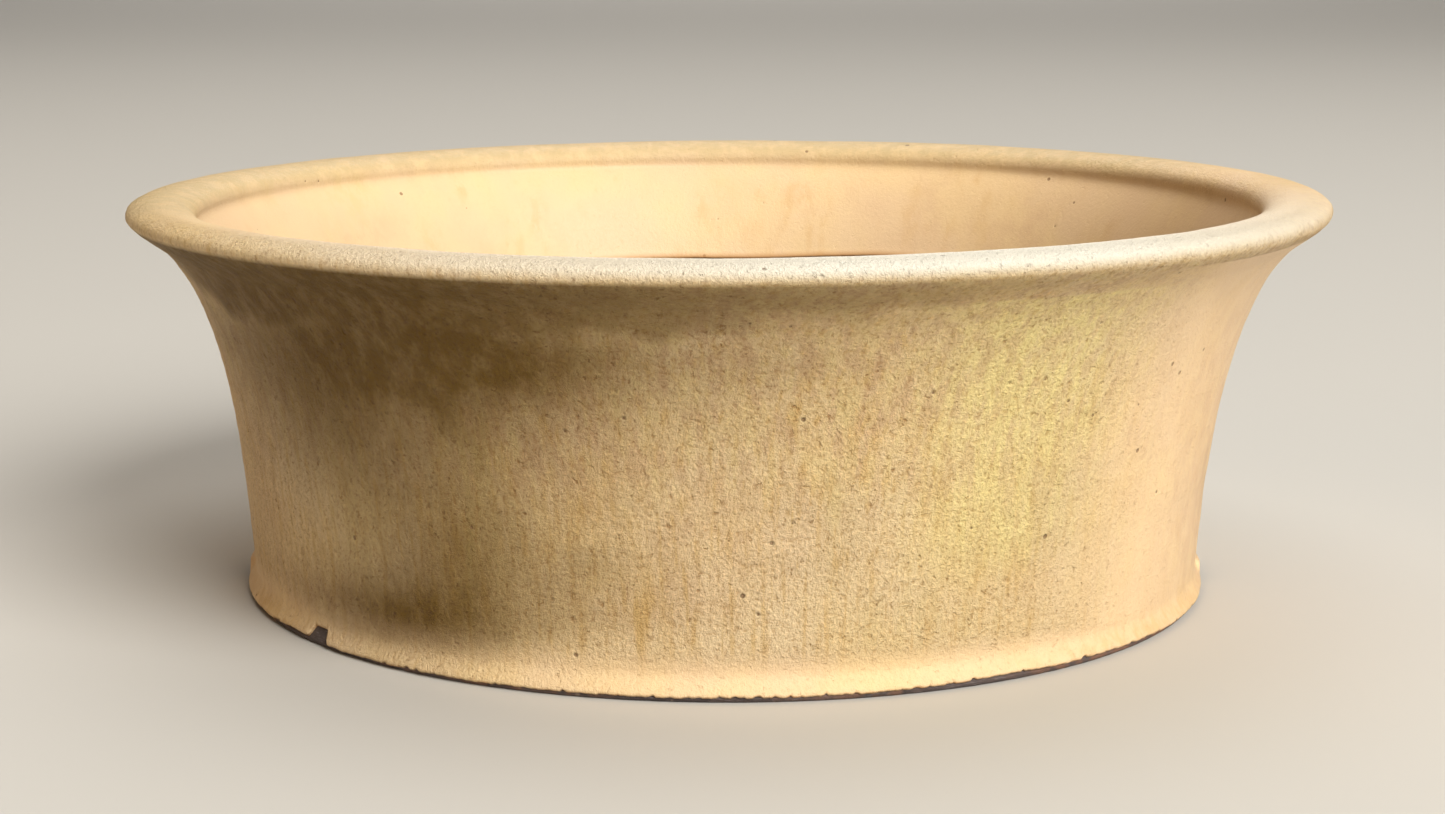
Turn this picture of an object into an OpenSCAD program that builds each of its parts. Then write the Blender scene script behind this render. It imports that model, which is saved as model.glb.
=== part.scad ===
// Round stoneware bonsai pot with a flared wall, a thick everted lip and a glazed skin.
// Millimetres. The pot stands on z = 0 with its axis on Z, and its front faces -Y.

/* [Body] */
// Diameter over the glazed lip
rim_d = 300; // [250:1:380]
// Height from the table to the crown of the lip
pot_h = 99; // [82:1:125]
// Diameter over the foot bead
foot_d = 244; // [200:1:264]
// How far the foot bead stands out from the crease above it
bead = 2.1; // [1.2:0.1:3]
// Height of the crease, where the wall stands on the foot
crease_h = 6; // [5.5:0.5:8]
// Thickness of the fired clay in the wall
wall_t = 6.9; // [5.5:0.1:9]
// Thickness of the glaze
glaze_t = 0.8; // [0.5:0.1:1]

/* [Flare] */
// How far the top of the wall lies inside the lip's outer edge
flare_in = 8.5; // [7:0.5:11]
// How far the top of the wall lies below the crown
flare_drop = 10.4; // [9.6:0.1:12]
// Slope of the wall where it meets the lip, in degrees above the horizon
flare_angle = 45; // [42:1:54]
// Lean of the wall where it leaves the foot, in degrees from upright
base_lean = 5; // [1:0.2:8]
// Length over which the flare turns
flare_pull = 26; // [16:1:30]
// Length over which the base stays nearly upright
base_pull = 15; // [10:1:24]

/* [Lip] */
// Distance of the crown from the lip's outer edge
crown_in = 7.7; // [6:0.1:9]
// Height of the crown above the lip's widest point
nose_drop = 3.2; // [2.5:0.1:4]
// Height of the crown above the lip's inner edge
inner_drop = 4.6; // [3.5:0.1:5]
// How far the lip's inner edge overhangs the wall under it
overhang = 1.5; // [1.5:0.1:2.5]
// Radius of the roll under the inner edge
roll_r = 1.2; // [1.1:0.1:1.4]
// Squareness of the outer shoulder, where 2 is an ellipse
outer_shoulder = 2.4; // [2:0.1:3]
// Squareness of the inner shoulder, where 2 is an ellipse
inner_shoulder = 2; // [1.8:0.1:2.6]
// Slope of the lip's underside where it leaves the wall, in degrees above the horizon
underlip_angle = 40; // [34:1:46]
// Length over which the underside keeps that slope
underlip_pull = 3.4; // [2:0.1:4]
// Length over which the lip's nose stays upright
nose_pull = 1.9; // [1.2:0.1:2.4]

/* [Floor and foot] */
// Height of the underside of the floor above the table
floor_lift = 9; // [8.5:0.5:11]
// Thickness of the floor slab
floor_t = 9; // [6:0.5:12]
// Depth by which the slab is let into the wall and the foot
rebate = 1.5; // [1:0.25:2.5]
// Radius of the coil worked into the inner corner
coil_r = 9; // [6:0.5:12]
// Width of the foot ring
foot_w = 15; // [13:0.5:18]
// Rounding of the foot's lower edges
foot_round = 1.2; // [0.8:0.1:1.4]
// Height of the bare clay strip below the glaze
bare_h = 1.6; // [1.5:0.1:2.2]
// Width of the drain notches in the foot
notch_w = 24; // [16:1:30]
// Height of the drain notches in the foot
notch_h = 4.5; // [4.25:0.25:5]
// Height at which the inside glaze ends
inside_glaze_h = 68; // [55:1:76]

/* [Holes] */
// Diameter of the drain hole in the middle
centre_hole_d = 28; // [23:1:34]
// Diameter of the drain holes around it
drain_hole_d = 22; // [18:1:27]
// Diameter of the circle that the outer drain holes lie on
drain_circle_d = 120; // [100:1:130]
// Diameter of the holes for the tie wires
tie_hole_d = 5; // [4:0.5:6]
// Distance of the tie holes from the foot of the wall
tie_inset = 19; // [15:1:24]

/* [Screens and clips] */
// Least margin of a drain screen around its hole
screen_margin = 7; // [6:0.5:8.5]
// Spacing of a screen's strands
strand_pitch = 4; // [3.5:0.1:4.8]
// Width of a strand
strand_w = 1; // [0.8:0.1:1.2]
// Thickness of a screen
screen_t = 1.2; // [1:0.1:1.6]
// Diameter of the clip wire
wire_d = 2; // [1.6:0.1:2.6]
// Clearance between a clip's legs and the side of the drain hole
leg_gap = 0.5; // [0.4:0.1:1]
// Clearance between the clips and the faces they lie on
seat_gap = 0.05; // [0.05:0.05:0.2]
// Length of a clip's straight tails under the floor
tail_l = 10; // [7:0.5:12]
// Length of a clip's straight arms from leg to loop
arm_l = 5; // [4:0.5:6]

/* [Hidden] */

rim_r = rim_d / 2;
foot_r = foot_d / 2;
crease_r = foot_r - bead;
ring_in_r = foot_r - foot_w;
body_t = wall_t + 2 * glaze_t;
floor_top = floor_lift + floor_t;
wire_r = wire_d / 2;

// Points along the wall's curve, along each part of the lip, and up the foot bead
wall_steps = 22;
lip_steps = 8;
bead_steps = 8;
// How far a cutter runs past the face it cuts
cut = 1;

// The wall's glazed outer face is one cubic curve in [radius, height].
wall_foot = [crease_r, crease_h];
wall_top = [rim_r - flare_in, pot_h - flare_drop];
wall_curve = [
    wall_foot,
    wall_foot + base_pull * [sin(base_lean), cos(base_lean)],
    wall_top - flare_pull * [cos(flare_angle), sin(flare_angle)],
    wall_top
];

function on_curve(c, t) = pow(1 - t, 3) * c[0] + 3 * t * pow(1 - t, 2) * c[1]
    + 3 * t * t * (1 - t) * c[2] + pow(t, 3) * c[3];
function heading(c, t) = pow(1 - t, 2) * (c[1] - c[0]) + 2 * t * (1 - t) * (c[2] - c[1])
    + t * t * (c[3] - c[2]);
// The point at t on the curve, moved d to its left, which on the wall is inward.
function beside(c, t, d) = let (h = heading(c, t)) on_curve(c, t) + d * [-h[1], h[0]] / norm(h);
function reversed(list) = [for (i = [len(list) - 1:-1:0]) list[i]];

// Every face below is given at a depth d under the glaze: 0 is the glazed face, glaze_t the clay.

// The foot bead, upward from height z to the crease.
bead_h = crease_h * 0.08;
function bead_swell(z) = (1 + cos(180 * (z - bead_h) / (crease_h - bead_h))) / 2;
function foot_face(d, z) = [
    for (i = [0:bead_steps], h = [z + (crease_h - z) * i / bead_steps])
        [crease_r - d + bead * bead_swell(h), h]
];

// The wall's outer face, upward from the crease.
function outer_face(d) = concat(
    [[crease_r - d, crease_h]],
    [for (i = [1:wall_steps]) beside(wall_curve, i / wall_steps, d)]
);

// The wall's inner face, upward, as a table of [height, radius].
function inner_table(d) = [
    for (i = [0:wall_steps], p = [beside(wall_curve, i / wall_steps, body_t - d)]) [p[1], p[0]]
];
function inner_r(d, z) = lookup(z, inner_table(d));

// The lip's inner edge overhangs the wall, and the lip's underside meets the wall in a corner.
inner_edge_r = inner_r(0, pot_h - inner_drop - roll_r) - overhang;
crown_r = rim_r - crown_in;
function corner(d) = let (z = pot_h - inner_drop - roll_r + d) [inner_r(d, z), z];

// The wall's inner face, downward from that corner to height z.
function inner_face(d, z) = concat(
    [corner(d)],
    [for (p = reversed(inner_table(d))) if (p[0] > z + 0.1 && p[0] < corner(d)[1] - 0.1) [p[1], p[0]]],
    [[inner_r(d, z), z]]
);

// A quarter of a squared ellipse about c, from angle a for 90 degrees.
function shoulder(c, w, h, squareness, a) = [
    for (i = [1:lip_steps], b = [a + 90 * i / lip_steps])
        c + [w * sign(cos(b)) * pow(abs(cos(b)), 2 / squareness), h * pow(abs(sin(b)), 2 / squareness)]
];
// The lip's face, from the top of the wall out, over the crown and in under the inner edge.
function underlip(d) = let (top = beside(wall_curve, 1, d), nose = [rim_r - d, pot_h - nose_drop]) [
    for (i = [1:lip_steps])
        on_curve([top, top + underlip_pull * [cos(underlip_angle), sin(underlip_angle)],
            nose - [0, nose_pull], nose], i / lip_steps)
];
function inner_roll(d) = let (r = roll_r - d) [
    for (a = [30:30:90]) [inner_edge_r + d + r * (1 - cos(a)), pot_h - inner_drop - r * sin(a)]
];
function lip_face(d) = concat(
    underlip(d),
    shoulder([crown_r, pot_h - nose_drop], crown_in - d, nose_drop - d, outer_shoulder, 0),
    shoulder([crown_r, pot_h - inner_drop], crown_r - inner_edge_r - d, inner_drop - d, inner_shoulder, 90),
    inner_roll(d)
);

// The whole glazed outline at depth d, from the foot over the lip to the end of the inside glaze.
function outline(d) = concat(
    foot_face(d, bare_h), [for (i = [1:wall_steps]) outer_face(d)[i]], lip_face(d), inner_face(d, inside_glaze_h)
);

floor_r = inner_r(glaze_t, floor_top);
slab_r = floor_r + rebate;

// The drain holes, the first in the middle: centre, diameter, and how far its screen is turned.
drains = concat(
    [[[0, 0], centre_hole_d, 3]],
    [for (i = [0:3]) [drain_circle_d / 2 * [cos(90 * i), sin(90 * i)], drain_hole_d, [-5, 4, -2, 6][i]]]
);

module clay() {
    color([0.25, 0.19, 0.17]) children();
}

module turned(outline) {
    rotate_extrude($fn = 180) polygon(outline);
}

// Both drain notches, on the X axis, with rounded upper corners.
module notches() {
    r = notch_h / 2;
    for (side = [0, 180]) rotate([0, 0, side]) translate([ring_in_r - cut, 0, 0])
        rotate([90, 0, 90]) linear_extrude(foot_w + 2 * cut) {
            translate([-notch_w / 2, -cut]) square([notch_w, notch_h - r + cut]);
            translate([r - notch_w / 2, -cut]) square([notch_w - 2 * r, notch_h + cut]);
            for (s = [-1, 1]) translate([s * (notch_w / 2 - r), notch_h - r]) circle(r, $fn = 48);
        }
}

module wall() {
    clay() turned(concat(
        outer_face(glaze_t),
        inner_face(glaze_t, floor_top),
        [[slab_r, floor_top], [slab_r, crease_h]]
    ));
}

module rim() {
    clay() turned(concat([beside(wall_curve, 1, glaze_t)], lip_face(glaze_t), [corner(glaze_t)]));
}

module floor_slab() {
    clay() difference() {
        translate([0, 0, floor_lift]) cylinder(r = slab_r, h = floor_t, $fn = 180);
        for (hole = drains) translate(hole[0]) cylinder(d = hole[1], h = floor_top + cut, $fn = 96);
        for (a = [45:90:315]) rotate([0, 0, a]) translate([floor_r - tie_inset, 0, 0])
            cylinder(d = tie_hole_d, h = floor_top + cut, $fn = 48);
    }
}

module foot_ring() {
    bare_r = foot_r - glaze_t;
    clay() difference() {
        turned(concat(
            [for (a = [0:15:90]) [ring_in_r + foot_round * (1 - sin(a)), foot_round * (1 - cos(a))]],
            [[ring_in_r, floor_lift], [slab_r, floor_lift], [slab_r, crease_h]],
            reversed(foot_face(glaze_t, bare_h)),
            [for (a = [0:15:90]) [bare_r - foot_round * (1 - cos(a)), foot_round * (1 - sin(a))]]
        ));
        notches();
    }
}

// A concave coil whose thin edges are left a little blunt.
module seam_coil() {
    top = floor_top + coil_r;
    blunt = 12;
    arc = [for (a = [blunt:6:90 - blunt], z = [top - coil_r * sin(a)])
        [inner_r(glaze_t, z) - coil_r * (1 - cos(a)), z]];
    behind = inner_face(glaze_t, floor_top);
    clay() turned(concat(
        arc,
        [[arc[len(arc) - 1][0], floor_top]],
        reversed([for (p = behind) if (p[1] < arc[0][1] - 0.1) p]),
        [[inner_r(glaze_t, arc[0][1]), arc[0][1]]]
    ));
}

module glaze_coat() {
    color([0.80, 0.72, 0.52]) difference() {
        turned(concat(outline(0), reversed(outline(glaze_t))));
        notches();
    }
}

// A welded mesh with an opening at its centre.
module drain_screen(i) {
    rows = ceil((drains[i][1] / 2 + screen_margin) / strand_pitch - 0.5);
    half = (rows + 0.5) * strand_pitch;
    side = 2 * half + strand_w;
    color([0.07, 0.09, 0.08]) translate([drains[i][0][0], drains[i][0][1], floor_top])
        for (turn = [0, 90]) rotate([0, 0, drains[i][2] + turn])
            for (y = [-half:strand_pitch:half + 0.01]) translate([-side / 2, y - strand_w / 2, 0])
                cube([side, strand_w, screen_t]);
}

module bend(r, angle) {
    rotate_extrude(angle = angle, $fn = 64) translate([r, 0]) circle(wire_r, $fn = 32);
}

module wire(length) {
    rotate([0, -90, 0]) cylinder(r = wire_r, h = length, $fn = 32);
}

// One half of a clip: a leg through the screen and the hole, a tail under the floor and a loop on top.
module half_clip(leg_x, leg_y) {
    turn_r = (strand_pitch - strand_w) / 2;
    low = floor_lift - seat_gap - wire_r;
    high = floor_top + screen_t + seat_gap + wire_r;
    bend_x = -leg_x - turn_r;
    loop_x = bend_x - arm_l;
    translate([-leg_x, leg_y, low + turn_r]) cylinder(r = wire_r, h = high - low - 2 * turn_r, $fn = 32);
    translate([bend_x, leg_y, low + turn_r]) rotate([90, 0, 0]) rotate([0, 0, -90]) bend(turn_r, 90);
    translate([bend_x, leg_y, low]) wire(tail_l);
    translate([bend_x, leg_y, high - turn_r]) rotate([90, 0, 0]) bend(turn_r, 90);
    translate([bend_x, leg_y, high]) wire(arm_l);
    translate([loop_x, leg_y / 2, high]) rotate([0, 0, 90]) bend(leg_y / 2, 180);
    translate([0, 0, high]) wire(-loop_x);
}

// The legs stand in screen openings, the farthest out that the drain hole lets through.
module screen_clip(i) {
    reach = drains[i][1] / 2 - wire_r - leg_gap;
    leg_y = strand_pitch;
    leg_x = strand_pitch * max(1, floor(sqrt(reach * reach - leg_y * leg_y) / strand_pitch));
    color([0.72, 0.70, 0.66]) translate([drains[i][0][0], drains[i][0][1], 0])
        for (turn = [0, 180]) rotate([0, 0, drains[i][2] + turn]) half_clip(leg_x, leg_y);
}

wall();
rim();
floor_slab();
foot_ring();
seam_coil();
glaze_coat();
drain_screen(0);  // drain_screen_1
drain_screen(1);  // drain_screen_2
drain_screen(2);  // drain_screen_3
drain_screen(3);  // drain_screen_4
drain_screen(4);  // drain_screen_5
screen_clip(0);  // screen_clip_1
screen_clip(1);  // screen_clip_2
screen_clip(2);  // screen_clip_3
screen_clip(3);  // screen_clip_4
screen_clip(4);  // screen_clip_5
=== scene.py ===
"""A round stoneware bonsai pot: flared wall, thick everted lip, cream glaze over dark clay.

Lengths here are millimetres in the pot's own frame, and become metres when a mesh is made.
An azimuth is counted from +X towards +Y, in degrees, so the front of the pot is at 270.
"""

import math

import bmesh
import bpy
import numpy as np
from mathutils import Matrix, Vector


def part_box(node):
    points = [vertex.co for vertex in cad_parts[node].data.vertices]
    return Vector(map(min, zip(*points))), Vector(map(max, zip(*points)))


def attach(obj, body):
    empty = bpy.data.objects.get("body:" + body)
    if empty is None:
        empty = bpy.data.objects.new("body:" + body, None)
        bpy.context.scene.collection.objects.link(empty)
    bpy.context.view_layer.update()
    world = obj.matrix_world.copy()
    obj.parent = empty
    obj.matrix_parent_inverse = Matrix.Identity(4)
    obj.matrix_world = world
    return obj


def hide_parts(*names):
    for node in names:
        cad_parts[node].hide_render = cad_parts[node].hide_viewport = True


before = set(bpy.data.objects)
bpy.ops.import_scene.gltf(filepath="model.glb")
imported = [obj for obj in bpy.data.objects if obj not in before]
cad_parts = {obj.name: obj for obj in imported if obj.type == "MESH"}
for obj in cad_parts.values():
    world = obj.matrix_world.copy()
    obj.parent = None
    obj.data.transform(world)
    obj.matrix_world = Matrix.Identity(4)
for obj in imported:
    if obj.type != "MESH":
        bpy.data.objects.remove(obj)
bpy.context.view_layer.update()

MM = 0.001
TAU = 2 * math.pi

# ---------------------------------------------------------------- sizes, as the frame has them
RIM_R, POT_H, FOOT_R = 150.0, 99.0, 122.0
BEAD, CREASE_H = 2.1, 6.0
WALL_T, GLAZE_T = 6.9, 0.8
FLARE_IN, FLARE_DROP, FLARE_ANGLE, FLARE_PULL = 8.5, 10.4, 45.0, 26.0
BASE_LEAN, BASE_PULL = 5.0, 15.0
CROWN_IN, NOSE_DROP, INNER_DROP = 7.7, 3.2, 4.6
OVERHANG, ROLL_R = 1.5, 1.2
OUTER_SHOULDER, INNER_SHOULDER = 2.4, 2.0
UNDERLIP_ANGLE, UNDERLIP_PULL, NOSE_PULL = 40.0, 3.4, 1.9
FLOOR_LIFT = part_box("floor_slab")[0][2] / MM
FLOOR_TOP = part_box("floor_slab")[1][2] / MM
SLAB_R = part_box("floor_slab")[1][1] / MM
FOOT_W, FOOT_ROUND = 15.0, 1.2
NOTCH_W, NOTCH_H = 24.0, 4.5
COIL_R = 9.0
GLAZE_LINE_H = 68.0

CREASE_R = FOOT_R - BEAD
BODY_T = WALL_T + 2 * GLAZE_T


# ---------------------------------------------------------------- smooth seeded noise
def scatter(ix, iy, iz, seed):
    """A random number from 0 to 1 for each whole-numbered cell."""
    h = (ix * 73856093) ^ (iy * 19349663) ^ (iz * 83492791) ^ (seed * 2654435761)
    h = (h ^ (h >> 13)) * 1274126177 & 0xFFFFFFFF
    h = (h ^ (h >> 16)) * 2246822519 & 0xFFFFFFFF
    return ((h ^ (h >> 15)) & 0xFFFFFF) / float(0xFFFFFF)


def noise(p, size, seed=0):
    """Smooth noise from -1 to 1 over points p, with features about size across."""
    q = p / np.asarray(size, float)
    cell = np.floor(q).astype(np.int64)
    f = q - cell
    f = f * f * f * (f * (f * 6 - 15) + 10)
    total = 0.0
    for dx in (0, 1):
        for dy in (0, 1):
            for dz in (0, 1):
                weight = (
                    (f[..., 0] if dx else 1 - f[..., 0])
                    * (f[..., 1] if dy else 1 - f[..., 1])
                    * (f[..., 2] if dz else 1 - f[..., 2])
                )
                corner = scatter(cell[..., 0] + dx, cell[..., 1] + dy, cell[..., 2] + dz, seed)
                total = total + weight * corner
    return 2 * total - 1


def fbm(p, size, octaves=3, seed=0, gain=0.5):
    """Layered noise, roughly from -1 to 1."""
    size = np.asarray(size, float)
    total, reach, weight = 0.0, 0.0, 1.0
    for i in range(octaves):
        total = total + weight * noise(p, size / 2**i, seed + 17 * i)
        reach += weight
        weight *= gain
    return total / reach


def smooth(a, b, x):
    """0 below a and 1 above b, with a soft rise between them."""
    t = np.clip((x - a) / (b - a), 0, 1)
    return t * t * (3 - 2 * t)


# ---------------------------------------------------------------- the pot's outline, as [radius, height]
# how many points the outline has on its main stretches
WALL_STEPS, LIP_STEPS, INSIDE_STEPS = 90, 40, 80


def cubic(c, t):
    """Points on the cubic curve with control points c."""
    t = np.asarray(t)[:, None]
    return (1 - t) ** 3 * c[0] + 3 * t * (1 - t) ** 2 * c[1] + 3 * t * t * (1 - t) * c[2] + t**3 * c[3]


def heading(c, t):
    """The curve's direction, not of unit length."""
    t = np.asarray(t)[:, None]
    return (1 - t) ** 2 * (c[1] - c[0]) + 2 * t * (1 - t) * (c[2] - c[1]) + t * t * (c[3] - c[2])


def slope(angle):
    """The unit step at an angle in degrees from the level."""
    return np.array([math.cos(math.radians(angle)), math.sin(math.radians(angle))])


WALL_FOOT = np.array([CREASE_R, CREASE_H])
WALL_TOP = np.array([RIM_R - FLARE_IN, POT_H - FLARE_DROP])
WALL_CURVE = np.array(
    [
        WALL_FOOT,
        WALL_FOOT + BASE_PULL * slope(90 - BASE_LEAN),
        WALL_TOP - FLARE_PULL * slope(FLARE_ANGLE),
        WALL_TOP,
    ]
)


def beside(t, d):
    """Points on the wall's curve moved inward by d."""
    h = heading(WALL_CURVE, t)
    h = h / np.linalg.norm(h, axis=1)[:, None]
    return cubic(WALL_CURVE, t) + d * np.stack([-h[:, 1], h[:, 0]], 1)


def inner_r(d, z):
    """Radius of the wall's inner face at height z, at depth d under its glaze."""
    p = beside(np.linspace(0, 1, 60), BODY_T - d)
    return np.interp(z, p[:, 1], p[:, 0])


ROLL_H = POT_H - INNER_DROP - ROLL_R
INNER_EDGE_R = float(inner_r(0, ROLL_H)) - OVERHANG
CROWN_R = RIM_R - CROWN_IN


def shoulder(centre, w, h, squareness, start):
    """A quarter of a rounded box, from angle start to 90 degrees past it."""
    b = np.radians(start + np.linspace(0, 90, LIP_STEPS)[1:])
    x, y = np.cos(b), np.sin(b)
    return np.stack(
        [
            centre[0] + w * np.sign(x) * np.abs(x) ** (2 / squareness),
            centre[1] + h * np.abs(y) ** (2 / squareness),
        ],
        1,
    )


def foot_face(d):
    """The foot bead, from near the table to the crease."""
    z = np.linspace(0.3, CREASE_H, 40)
    peak = CREASE_H * 0.08
    swell = (1 + np.cos(math.pi * np.maximum(0, z - peak) / (CREASE_H - peak))) / 2
    return np.stack([CREASE_R - d + BEAD * swell, z], 1)


def lip_face(d):
    """From the top of the wall out, over the crown and in under the inner edge."""
    top = beside([1.0], d)[0]
    nose = np.array([RIM_R - d, POT_H - NOSE_DROP])
    under = [top, top + UNDERLIP_PULL * slope(UNDERLIP_ANGLE), nose - [0, NOSE_PULL], nose]
    inner_w = CROWN_R - INNER_EDGE_R
    a = np.radians(np.linspace(0, 90, 16)[1:])
    r = ROLL_R - d
    roll = np.stack([INNER_EDGE_R + d + r * (1 - np.cos(a)), POT_H - INNER_DROP - r * np.sin(a)], 1)
    return np.concatenate(
        [
            cubic(under, np.linspace(0, 1, LIP_STEPS)[1:]),
            shoulder((CROWN_R, POT_H - NOSE_DROP), CROWN_IN - d, NOSE_DROP - d, OUTER_SHOULDER, 0),
            shoulder((CROWN_R, POT_H - INNER_DROP), inner_w - d, INNER_DROP - d, INNER_SHOULDER, 90),
            roll,
        ]
    )


def inner_face(d, low):
    """The wall's inner face, from under the lip down to height low."""
    z = np.linspace(ROLL_H + d, low, INSIDE_STEPS)
    return np.stack([inner_r(d, z), z], 1)


def skin_line(d, low):
    """The whole outline at depth d under the glaze, from the foot over the lip to height low inside."""
    wall = beside(np.linspace(0, 1, WALL_STEPS)[1:], d)
    return np.concatenate([foot_face(d), wall, lip_face(d), inner_face(d, low)])


def lengths(line):
    """The distance along a line to each of its points."""
    return np.concatenate([[0], np.cumsum(np.linalg.norm(np.diff(line, axis=0), axis=1))])


def along(line, at):
    """The line's points at the given distances along it."""
    s = lengths(line)
    return np.stack([np.interp(at, s, line[:, k]) for k in range(line.shape[1])], 1)


def pooled(line):
    """Rounds the corner under the lip's inner edge, where glaze gathers."""
    s = lengths(line)
    reach, blur = 4.6, 2.1
    near = np.exp(-(((s - s[len(line) - INSIDE_STEPS]) / reach) ** 4))[:, None]
    shifts = np.arange(-5, 5.01, 0.25)
    weights = np.exp(-((shifts / blur) ** 2))
    soft = sum(w * along(line, s + shift) for w, shift in zip(weights, shifts))
    return line + near * (soft / weights.sum() - line)


# ---------------------------------------------------------------- what the hand and the kiln did
# how far the rim is out of round, and how far it rises towards +X and +Y
OVAL_X, OVAL_DIAGONAL = -0.6, -1.7
TILT_X, TILT_Y = 1.35, -0.4


def azimuth_of(p):
    """The azimuth of points in radians."""
    return np.arctan2(p[..., 1], p[..., 0])


def degrees_round(p):
    """The azimuth of points in degrees, from 0 to 360."""
    return np.degrees(azimuth_of(p)) % 360


def radius_of(p):
    """How far points are from the pot's axis."""
    return np.hypot(p[..., 0], p[..., 1])


def handmade(p):
    """Bends the pot a little oval and tilts it, more towards the rim."""
    az = azimuth_of(p)
    grow = smooth(8, 22, p[..., 2]) * (np.maximum(p[..., 2], 0) / POT_H) ** 3
    r = np.maximum(radius_of(p), 1e-6)
    dr = grow * (OVAL_X * np.cos(2 * az) + OVAL_DIAGONAL * np.sin(2 * az))
    out = p * np.stack([1 + dr / r, 1 + dr / r, np.ones(r.shape)], -1)
    out[..., 2] += grow * (TILT_X * np.cos(az) + TILT_Y * np.sin(az))
    return out


def notch_lift(p):
    """Raises what lies over the two drain notches, to the notch's rounded outline."""
    edge = smooth(NOTCH_W / 2 + 0.5, NOTCH_W / 2 - 1.6, np.abs(p[..., 1]))
    on_foot = np.abs(p[..., 0]) > FOOT_R / 2
    lift = NOTCH_H * edge * on_foot
    out = p.copy()
    z = p[..., 2]
    out[..., 2] = np.where(z < CREASE_H, z + lift * (1 - z / CREASE_H), z)
    return out


# ---------------------------------------------------------------- mesh makers
def linked(name, data):
    """A new object in the scene."""
    obj = bpy.data.objects.new(name, data)
    bpy.context.collection.objects.link(obj)
    return obj


def shade_smooth(mesh):
    mesh.polygons.foreach_set("use_smooth", [True] * len(mesh.polygons))


def make_mesh(name, points, quads, node_name, fields):
    """A piece from points in millimetres and faces, which rides on the root and stands for a CAD node."""
    mesh = bpy.data.meshes.new(name)
    mesh.vertices.add(len(points))
    mesh.vertices.foreach_set("co", (points * MM).astype(np.float32).ravel())
    quads = np.asarray(quads, dtype=np.int32)
    mesh.loops.add(quads.size)
    mesh.loops.foreach_set("vertex_index", quads.ravel())
    mesh.polygons.add(len(quads))
    mesh.polygons.foreach_set("loop_start", np.arange(0, quads.size, quads.shape[1], dtype=np.int32))
    mesh.update(calc_edges=True)
    shade_smooth(mesh)
    for key, values in fields.items():
        layer = mesh.attributes.new(key, "FLOAT", "POINT")
        layer.data.foreach_set("value", values.astype(np.float32).ravel())
    mesh.validate()
    return keep(linked(name, mesh), node_name)


def keep(piece, node_name):
    """Makes an object one of the pot's pieces."""
    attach(piece, "root")
    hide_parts(node_name)
    return piece


def ring_quads(rows, columns, closed_rows=True):
    """Faces of a grid that closes round its columns, and round its rows too for a ring-shaped solid."""
    i = np.arange(rows if closed_rows else rows - 1)[:, None]
    j = np.arange(columns)[None, :]
    a = i * columns + j
    b = i * columns + (j + 1) % columns
    c = ((i + 1) % rows) * columns + (j + 1) % columns
    d = ((i + 1) % rows) * columns + j
    return np.stack([a, b, c, d], -1).reshape(-1, 4)


def around(r, z, az):
    """Points at radius r, height z and azimuth az."""
    return np.stack([r * np.cos(az), r * np.sin(az), z + 0 * az], -1)


def resample(line, step):
    """Points along a line at about equal steps."""
    length = lengths(line)[-1]
    return along(line, np.linspace(0, length, max(2, int(round(length / step)) + 1)))


def turned(name, outline, columns, node_name, moves, flash):
    """A clay piece turned from a closed outline. moves shape its points, flash gives its vertex values."""
    az = np.arange(columns) * TAU / columns
    rest = around(outline[:, :1], outline[:, 1:], az[None, :])
    p = rest
    for move in moves:
        p = move(p)
    quads = ring_quads(len(outline), columns)
    return make_mesh(name, p.reshape(-1, 3), quads, node_name, {"flash": flash(rest)})


# ---------------------------------------------------------------- the glaze
def bump_at(x, centre, width, edge):
    """1 within width of centre, falling to 0 over edge, for angles in degrees."""
    gap = np.abs((x - centre + 180) % 360 - 180)
    return 1 - smooth(width / 2 - edge / 2, width / 2 + edge / 2, gap)


def foot_edge(az):
    """How far above the table the glaze starts, round the foot."""
    p = around(FOOT_R, 0, az)
    deg = np.degrees(az) % 360
    line = 0.95 + 0.25 * fbm(p, 22, 2, 5) + 0.22 * fbm(p, 2.0, 3, 6, 0.7)
    line = line + 0.7 * np.maximum(0, noise(p, 1.1, 7) - 0.3)
    line = line + 0.5 * bump_at(deg, 300, 40, 34)
    missed_patch = bump_at(deg, 218.9, 3.4, 1.1) * (4.1 - line)
    beside_it = bump_at(deg, 214.0, 7.5, 6.5) * 0.5
    return line + np.maximum(missed_patch, beside_it)


def inside_edge(az):
    """Height of the glaze's end inside the pot."""
    p = around(float(inner_r(0, GLAZE_LINE_H)), 0, az)
    deg = np.degrees(az) % 360
    steady = bump_at(deg, 86, 50, 16)
    line = GLAZE_LINE_H - 2.6 + (1 - 0.85 * steady) * (1.8 * fbm(p, 46, 2, 8) + 0.9 * fbm(p, 9, 3, 9))
    return line + 1.9 * bump_at(deg, 58, 36, 24) - 0.9 * bump_at(deg, 120, 22, 12)


# Soft patches of colour on the wall: azimuth, height, half width, half height, strength
OCHRE = [
    (303, 50, 2.6, 26, 1.0), (308, 66, 2.4, 16, 1.0), (297, 62, 1.5, 22, 0.7), (312, 40, 2.0, 18, 0.5),
    (262, 18, 1.6, 9, 0.9), (277, 62, 2.0, 18, 0.6), (283, 66, 1.4, 16, 0.6), (292, 40, 1.5, 20, 0.5),
    (240, 26, 3.0, 16, 0.6), (254, 42, 3.0, 14, 0.4), (325, 3, 20, 3, 0.8), (203, 3, 10, 3, 0.9),
]
OLIVE = [
    (296, 70, 6.0, 11, 0.9), (299, 46, 3.0, 24, 0.7), (281, 58, 1.8, 22, 0.8), (243, 30, 4.0, 24, 1.0),
    (246, 54, 5.0, 8, 0.6), (290, 18, 10.0, 8, 0.5), (268, 66, 5.0, 14, 0.3), (315, 22, 8, 12, 0.4),
    (262, 54, 3.0, 12, 0.4), (228, 40, 5, 26, 0.5),
]
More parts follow.
